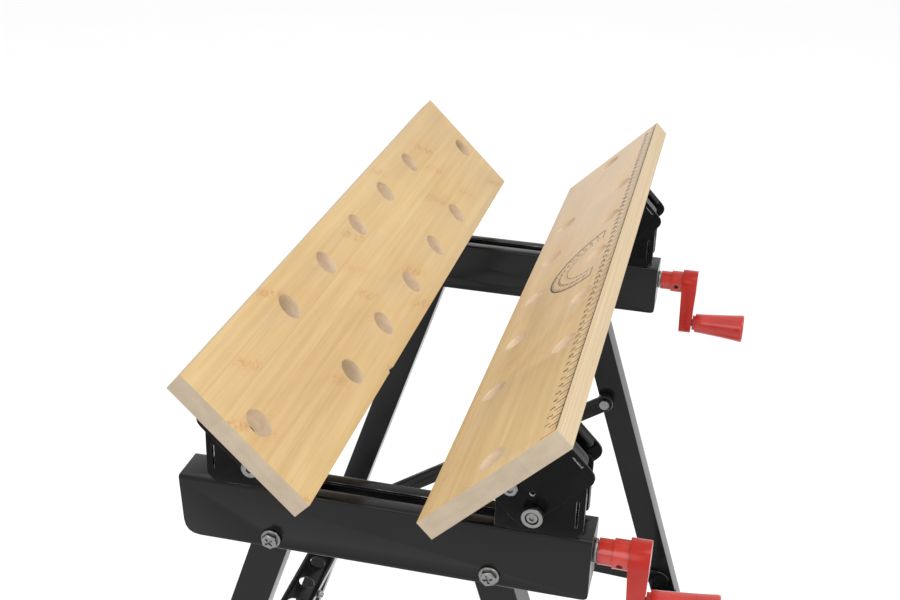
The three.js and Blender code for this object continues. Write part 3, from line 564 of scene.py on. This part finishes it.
for end in ("back", "front"):
    for side, sign in side_sign.items():
        pivot, lock = (jaw_place[end] @ Matrix.Translation((sign * rail_x, 0, height)) @ outwards[side]
                       for height in (0, lock_height))
        piece = twin(lock_screw, f"{end}_{side}_lock_screw_finished")
        set_down(piece, lock)
        fit(piece, zinc, "zinc", f"{end}_{side}_lock_screw")
        piece = twin(back_screw if end == "back" else pivot_screw, f"{end}_{side}_pivot_screw_finished")
        set_down(piece, pivot)
        fit(piece, zinc, "zinc", f"{end}_{side}_pivot_screw")
        if end == "front":
            piece = twin(collar, f"{end}_{side}_pivot_collar_finished")
            set_down(piece, pivot)
            fit(piece, zinc, "zinc", f"{end}_{side}_pivot_collar")
for made in (lock_screw, back_screw, pivot_screw, collar):
    bpy.data.objects.remove(made)

# Jaw boards
#
# Boards of laminated bamboo, planed and thinly lacquered, with rows of round dog holes and
# one small notch in the back one's inner edge. The faces show the strips, their fibres and
# the darker joints of the cane, and sawn ends and drilled holes show raw, greyer grain.
jaw_length = 0.605
jaw_width = 0.11
jaw_inner = 0.03
jaw_middle = 0.025
jaw_top = 0.057
jaw_bottom = 0.043
strip_width = 0.0188
hole_radius = 0.01
hole_pitch = 0.08
row_offset = 0.03125
end_hole_x = 0.28


def on_board(place, end):
    """Places on a tilted jaw, measured along, across and through the board."""
    return place.node("Mapping", {
        "Vector": place, "Location": jaw_place[end].translation,
        "Rotation": (jaw_tilt if end == "back" else -jaw_tilt, 0, 0)}, vector_type="TEXTURE")


def strips(place):
    """The number of the bamboo strip at a place, and how far across it the place is."""
    across = (place.part("Y") + 0.2 + 0.0006 * place.stretched(1, 0, 0).noise(9.0)) / strip_width
    number = across.floor()
    return number, across - number


def lot(number, seed):
    """A fixed random value for each strip."""
    return number.node("TexWhiteNoise", {"W": number * 7.31 + seed}, noise_dimensions="1D")


def bamboo_face(end):
    material, shader, place = new_finish(f"{end}_bamboo_face")
    shader.inputs["Specular IOR Level"].default_value = 0.4
    place = on_board(place, end)
    number, across = strips(place)
    along = place.part("X")
    shade = lot(number, 3.0 if end == "back" else 41.0)

    # Fibres run along the board: broad streaks, then fine hairs.
    shifted = place.node("CombineXYZ", {0: along + shade * 3.0, 1: place.part("Y"), 2: place.part("Z")})
    streaks = shifted.stretched(5.0, 190.0, 190.0).noise(1.0, 4.0, 0.6)
    hairs = shifted.stretched(26.0, 2300.0, 2300.0).noise(1.0, 3.0, 0.65)
    fleck = shifted.stretched(120.0, 1500.0, 1500.0).noise(1.0, 2.0, 0.6)

    # Each strip has a joint of the cane every 190 to 310 mm: a mottled darker band.
    pitch = 0.19 + 0.12 * lot(number, 11.0)
    passed = (along + 0.5 + shade * 2.0) / pitch + 0.09 * (across - 0.5)
    whole = passed.floor()
    nearest = abs(passed - whole - 0.5) * pitch
    mottle = shifted.stretched(230.0, 430.0, 430.0).noise(1.0, 3.0, 0.7).spread(0.42, 0.62)
    band = nearest.spread(0.001, 0.0105, 1.0, 0.0)
    halo = nearest.spread(0.0, 0.024, 1.0, 0.0)
    middle = abs(across - 0.5).spread(0.25, 0.5, 1.0, 0.25)
    joint = band * mottle * middle * (0.25 + 0.75 * lot(number + whole * 17.0, 5.0))

    clouds = place.stretched(5.0, 14.0, 14.0).noise(1.0, 3.0, 0.55).spread(0.3, 0.7)
    figure_depth = (streaks.spread(0.28, 0.72) * 0.4 + shade * 0.14 + clouds * 0.34
                    + hairs.spread(0.3, 0.7) * 0.24)
    ground = figure_depth.tint((0.45, 0.285, 0.11, 1), (0.625, 0.455, 0.23, 1))
    warm = place.stretched(11.0, 34.0, 34.0).noise(1.0, 5.0, 0.65).spread(0.5, 0.7)
    ground = (halo * 0.2 + warm * 0.2).tint(ground, (0.55, 0.315, 0.12, 1))
    ground = (joint * 0.66).tint(ground, (0.4, 0.165, 0.05, 1))
    seam = abs(across - 0.5).spread(0.475, 0.5)
    ground = (seam * 0.13 + fleck.spread(0.64, 0.8) * 0.2).tint(ground, (0.36, 0.2, 0.075, 1))
    # The back board turns paler in random clouds, its own tone. The front board is painted paler and
    # greyer towards its far end: a painted sheen, where its lacquered top is seen more edge-on.
    if end == "back":
        pale_tone_and_sheen = clouds
        paler, greyer = (0.46, 0.34, 0.145, 1), 0.18
    else:
        pale_tone_and_sheen = along.spread(-0.3, 0.3)
        paler, greyer = (0.63, 0.49, 0.36, 1), 0.6
    ground = (pale_tone_and_sheen * greyer).tint(ground, paler)
    ground.into(shader, "Base Color")
    (streaks * 0.14 + hairs * 0.1 + 0.33).into(shader, "Roughness")
    (hairs + 0.6 * streaks - 0.8 * seam).bump(0.00005, 0.6).into(shader, "Normal")
    return material


def bamboo_cut(end):
    material, shader, place = new_finish(f"{end}_bamboo_cut")
    shader.inputs["Specular IOR Level"].default_value = 0.25
    place = on_board(place, end)
    number = strips(place)[0]
    sawn = abs(place.part("X")).spread(jaw_length / 2 - 0.002, jaw_length / 2 - 0.001)
    pores = place.stretched(900.0, 900.0, 900.0).noise(1.0, 2.0, 0.6)
    clouds = place.stretched(60.0, 60.0, 160.0).noise(1.0, 4.0, 0.6)
    lines = place.stretched(3.0, 60.0, 900.0).noise(1.0, 3.0, 0.6)
    raw = (clouds.spread(0.3, 0.7) * 0.6 + lot(number, 23.0) * 0.4).tint(
        (0.385, 0.31, 0.222, 1), (0.45, 0.372, 0.275, 1))
    side = (lines.spread(0.3, 0.7) * 0.7 + clouds * 0.3).tint(
        (0.46, 0.345, 0.2, 1), (0.58, 0.46, 0.31, 1))
    drilled = (clouds.spread(0.3, 0.7) * 0.7 + pores * 0.3).tint(
        (0.55, 0.42, 0.285, 1), (0.72, 0.57, 0.41, 1))
    off_middle = place.part("Y") + (-jaw_middle if end == "back" else jaw_middle)
    edge = abs(off_middle).spread(jaw_width / 2 - 0.0015, jaw_width / 2 - 0.0005)
    edge.tint(sawn.tint(drilled, raw), sawn.tint(side, raw)).into(shader, "Base Color")
    (pores * 0.2 + 0.55).into(shader, "Roughness")
    (pores + lines).bump(0.0001, 0.5).into(shader, "Normal")
    return material


board = block("jaw_board", (jaw_length, jaw_width, jaw_top - jaw_bottom),
              (0, jaw_width / 2 - jaw_inner, (jaw_top + jaw_bottom) / 2))
rows = [(column * hole_pitch, jaw_middle + row) for row in (-row_offset, row_offset)
        for column in range(-2, 3)]
for x, y in rows + [(-end_hole_x, jaw_middle), (end_hole_x, jaw_middle)]:
    dog_hole = turned("dog_hole", [(0.03, hole_radius), (0.07, hole_radius)], 64)
    set_down(dog_hole, Matrix.Translation((x, y, 0)))
    cut(board, dog_hole)
for end in ("back", "front"):
    piece = twin(board, f"{end}_jaw_board_finished")
    if end == "back":
        notch = block("notch", (0.009, 0.009, 0.04))
        notch_place = Matrix.Translation((-0.12, -jaw_inner - 0.0019, 0.05))
        set_down(notch, notch_place @ Matrix.Rotation(radians(45), 4, "Z"))
        cut(piece, notch)
    ease_edges(piece, 0.0007, 3, 25)
    for polygon in piece.data.polygons:
        polygon.material_index = 0 if abs(polygon.normal.z) > 0.5 else 1
    piece.data.materials.append(bamboo_face(end))
    piece.data.materials.append(bamboo_cut(end))
    turn = Matrix.Rotation(0 if end == "back" else pi, 4, "Z")
    set_down(piece, jaw_place[end] @ turn)
    fit(piece, None, "bamboo", f"{end}_jaw_board")
bpy.data.objects.remove(board)

# Printed scale
#
# A ruler along the front jaw's outer edge and a half-round protractor beside it, printed
# in grey-black ink that has sunk a little into the wood.


def printed_ink():
    material, shader, place = new_finish("printed_ink")
    worn = place.noise(900.0, 2.0, 0.6).spread(0.35, 0.7)
    worn.tint((0.022, 0.021, 0.028, 1), (0.07, 0.062, 0.066, 1)).into(shader, "Base Color")
    (worn * 0.2 + 0.5).into(shader, "Roughness")
    return material


print_level = jaw_top + 0.00004
marks = []


def mark(x, y, width, height):
    bpy.ops.object.select_all(action="DESELECT")
    bpy.ops.mesh.primitive_plane_add(size=1, location=(x, y, print_level))
    piece = bpy.context.object
    piece.scale = (width, height, 1)
    bpy.ops.object.transform_apply(location=True, rotation=True, scale=True)
    marks.append(piece)
    return piece


def row_of(piece, count, step):
    alone(piece)
    array = piece.modifiers.new("row", "ARRAY")
    array.count = count
    array.use_relative_offset = False
    array.use_constant_offset = True
    array.constant_offset_displace = (step, 0, 0)
    bpy.ops.object.modifier_apply(modifier="row")


def swung(piece, centre, start, end, steps):
    """Repeats a mark round a centre, from one angle to another."""
    alone(piece)
    piece.matrix_world = Matrix.Translation(centre) @ Matrix.Rotation(start, 4, "Z") @ Matrix.Translation(
        -Vector(centre))
    bpy.ops.object.transform_apply(location=True, rotation=True, scale=True)
    bpy.ops.object.mode_set(mode="EDIT")
    bpy.ops.mesh.select_all(action="SELECT")
    bpy.ops.mesh.spin(steps=steps, dupli=True, angle=start - end, center=centre, axis=(0, 0, 1))
    bpy.ops.object.mode_set(mode="OBJECT")


def figure(text, size, x, y, turn=0.0):
    bpy.ops.object.select_all(action="DESELECT")
    bpy.ops.object.text_add(location=(0, 0, 0))
    piece = bpy.context.object
    piece.data.body = text
    piece.data.size = size
    piece.data.align_x = "CENTER"
    piece.data.align_y = "CENTER"
    piece.data.resolution_u = 2
    piece.data.offset = size * 0.03
    bpy.ops.object.convert(target="MESH")
    set_down(bpy.context.object, Matrix.Translation((x, y, print_level)) @ Matrix.Rotation(turn, 4, "Z"))
    marks.append(bpy.context.object)


ruler_outer = -0.0787
ruler_inner = -0.0665
ruler_half = 0.3
mark(0, ruler_outer, ruler_half * 2, 0.001)
for sign in side_sign.values():
    mark(sign * ruler_half, (ruler_outer + ruler_inner) / 2, 0.0006, ruler_inner - ruler_outer)
for step, length, width in ((0.001, 0.0024, 0.00012), (0.005, 0.0048, 0.00045), (0.01, 0.0076, 0.0011)):
    row_of(mark(-0.295 if step < 0.01 else -0.29, ruler_outer + length / 2, width, length),
           round(0.59 / step) + (1 if step < 0.01 else -1), step)
for centimetre in range(1, 59):
    figure(str(centimetre), 0.0056, -0.295 + centimetre * 0.01, ruler_inner - 0.0027)

dial = (0, -0.058, print_level)
dial_radius = 0.0465
figure_radius = 0.0384
for radius, width in ((dial_radius, 0.0014), (0.0305, 0.0005)):
    swung(mark(radius, dial[1], width, radius * radians(2.05)), dial, radians(1), radians(179), 89)
for radius, length, width, step in (
        (dial_radius, 0.0026, 0.0003, 2), (dial_radius, 0.0048, 0.0007, 10), (0.0335, 0.003, 0.0006, 10)):
    swung(mark(radius - length / 2, dial[1], length, width), dial, 0.0, pi, 180 // step)
for degree in range(10, 180, 10):
    angle = radians(degree)
    figure(str(degree), 0.0036, figure_radius * cos(angle), dial[1] + figure_radius * sin(angle),
           angle - pi / 2)
for sign in side_sign.values():
    mark(sign * 0.0385, dial[1], 0.0166, 0.0007)
print_piece = joined(*marks)
print_piece.name = "front_jaw_printed_scale"
print_piece.data.materials.clear()
print_piece.data.materials.append(printed_ink())
set_down(print_piece, jaw_place["front"])
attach(print_piece, "front_jaw")

# Legs
#
# Square steel tube with rounded corners, painted like the rails. The top ends are rounded
# to swing inside the rails, and each front leg has a headed stud for the stay.
leg_angle = {"front": radians(-18), "back": radians(18)}
tube_half = 0.0125
tube_corner = 0.0018


def round_tube_corners(piece, place):
    """Rounds the tube's long outer corners, found by where they lie beside its axis."""
    alone(piece)
    home = place.inverted()
    for edge in piece.data.edges:
        first, second = (home @ piece.data.vertices[v].co for v in edge.vertices)
        at_corner = all(abs(abs(p.x) - tube_half) < 0.0001 and abs(abs(p.y) - tube_half) < 0.0001
                        for p in (first, second))
        edge.select = at_corner and (first - second).length > 0.05
    bpy.ops.object.mode_set(mode="EDIT")
    bpy.ops.mesh.select_mode(type="EDGE")
    bpy.ops.mesh.bevel(offset=tube_corner, segments=4, affect="EDGES")
    bpy.ops.mesh.select_all(action="DESELECT")
    bpy.ops.object.mode_set(mode="OBJECT")
    bpy.ops.object.shade_smooth_by_angle(angle=radians(32))


for end in ("front", "back"):
    for side, sign in side_sign.items():
        place = (Matrix.Translation(leg_pivot[end]) @ Matrix.Rotation(leg_angle[end], 4, "X")
                 @ Matrix.Translation((sign * rail_x, 0, 0)))
        leg = merged_copy(f"{end}_{side}_leg")
        round_tube_corners(leg, place)
        fit(leg, black_paint, "black_paint", f"{end}_{side}_leg")

# Feet
#
# Black rubber caps with a thick sole, pushed over the legs' lower ends. The soles are cut
# at the legs' slope, so that they stand level on the floor.


def matt_rubber():
    material, shader, place = new_finish("black_rubber")
    shader.inputs["Specular IOR Level"].default_value = 0.3
    dirt = place.noise(45.0, 5.0, 0.65).spread(0.45, 0.75)
    dirt.tint((0.011, 0.011, 0.011, 1), (0.04, 0.038, 0.035, 1)).into(shader, "Base Color")
    (dirt * 0.15 + 0.68).into(shader, "Roughness")
    (place.noise(1100.0, 3.0, 0.6) + place.noise(150.0, 2.0)).bump(0.00012, 0.5).into(shader, "Normal")
    return material


rubber = matt_rubber()
for end in ("front", "back"):
    for side in side_sign:
        foot = merged_copy(f"{end}_{side}_foot")
        ease_edges(foot, 0.0012, 3)
        fit(foot, rubber, "black_rubber", f"{end}_{side}_foot")

# Cross-members
#
# Folded channels between the legs of each pair, open below, with a row of round holes.
# The back one has a small screw and nut through its flange near each end.
for end in ("front", "back"):
    steel_sheet(f"{end}_cross_member")
for side in side_sign:
    screw = merged_copy(f"{side}_cross_member_screw")
    ease_edges(screw, 0.0003)
    fit(screw, zinc, "zinc", f"{side}_cross_member_screw")

# Link and stay bars
#
# Flat steel bars beside the legs. The links tie the two pairs of legs together as they
# fold, and the stays hook over the front legs' studs to lock them. Zinc plated pins with
# low heads join them to the legs, and the spacers behind the links are painted black.
behind_the_bars = 0.2069
for side in side_sign:
    for bar in ("link_bar", "stay_bar"):
        steel_sheet(f"{side}_{bar}")
    for pin in ("link_pin", "link_end_pin", "stay_pin"):
        piece = merged_copy(f"{side}_{pin}")
        ease_edges(piece, 0.0006, 3)
        fit(piece, zinc, "zinc", f"{side}_{pin}")
        piece.data.materials.append(black_paint)
        for polygon in piece.data.polygons:
            polygon.material_index = int(abs(polygon.center.x) > behind_the_bars)

# Floor and light
#
# A plain white studio floor under an even white sky, with one large soft light above the
# bench and a smaller one on the camera's side.


def studio_white():
    material, shader, place = new_finish("studio_floor")
    shader.inputs["Roughness"].default_value = 0.9
    place.noise(3.0, 3.0).tint((0.93, 0.93, 0.93, 1), (0.95, 0.95, 0.95, 1)).into(shader, "Base Color")
    return material


bpy.ops.object.select_all(action="DESELECT")
bpy.ops.mesh.primitive_plane_add(size=40, location=(0, 0, 0))
floor = bpy.context.object
floor.name = "studio_floor"
floor.data.materials.append(studio_white())

world = bpy.data.worlds.new("studio")
world.use_nodes = True
world.node_tree.nodes["Background"].inputs["Color"].default_value = (1.0, 1.0, 1.0, 1)
world.node_tree.nodes["Background"].inputs["Strength"].default_value = 1.0
bpy.context.scene.world = world


def softbox(name, place, target, size, power):
    lamp = bpy.data.objects.new(name, bpy.data.lights.new(name, "AREA"))
    bpy.context.scene.collection.objects.link(lamp)
    lamp.data.shape = "SQUARE"
    lamp.data.size = size
    lamp.data.energy = power
    lamp.location = place
    lamp.rotation_euler = (Vector(target) - Vector(place)).to_track_quat("-Z", "Y").to_euler()


bench_middle = (0, 0, 0.7)
softbox("overhead", (-0.6, -1.4, 3.0), bench_middle, 2.2, 39)
softbox("camera_side", (-2.4, 0.6, 2.0), bench_middle, 1.6, 14)
bpy.context.scene.view_settings.view_transform = "Standard"
